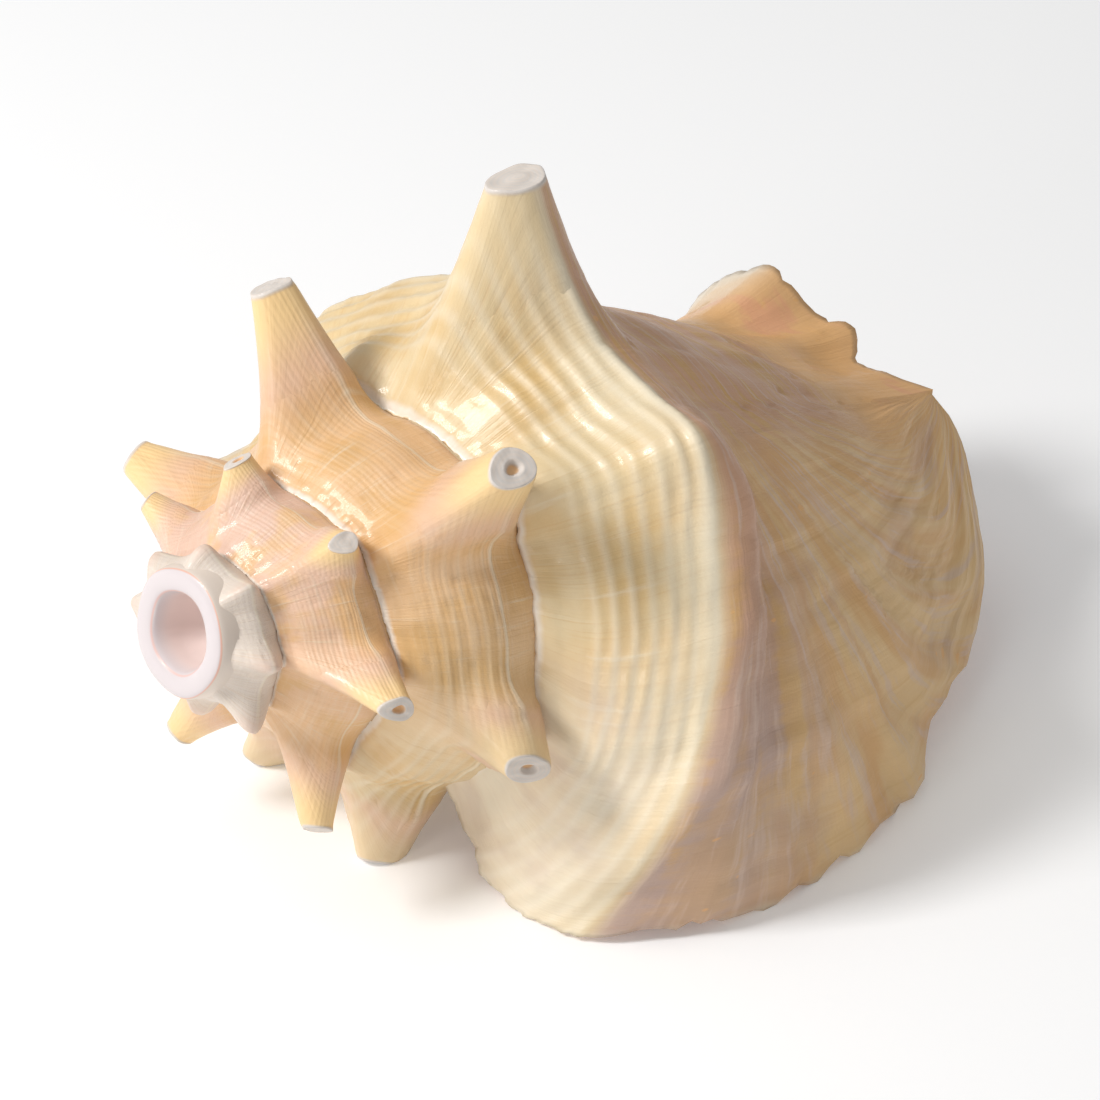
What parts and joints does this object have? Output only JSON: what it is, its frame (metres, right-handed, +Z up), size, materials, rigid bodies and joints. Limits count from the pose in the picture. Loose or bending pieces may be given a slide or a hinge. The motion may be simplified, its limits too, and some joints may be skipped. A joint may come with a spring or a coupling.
{
  "type": "conch shell",
  "caption": "Spined conch shell lying mouth-down, with a coiled spire, a hollow body chamber, a wide flared lip and an upturned canal; an ornament and horn-like seashell.",
  "frame": {"origin": "under the middle of the shell's bounding box, on the surface it rests on", "axes": "+X from the apex towards the canal, +Z up, the lip spreads towards -Y"},
  "size_m": [0.2046, 0.1526, 0.1445],
  "materials": {
    "shell": "glossy, cream to peach, calcium carbonate"
  },
  "bodies": {
    "root": {"conch_shell": "shell"}
  },
  "joints": []
}
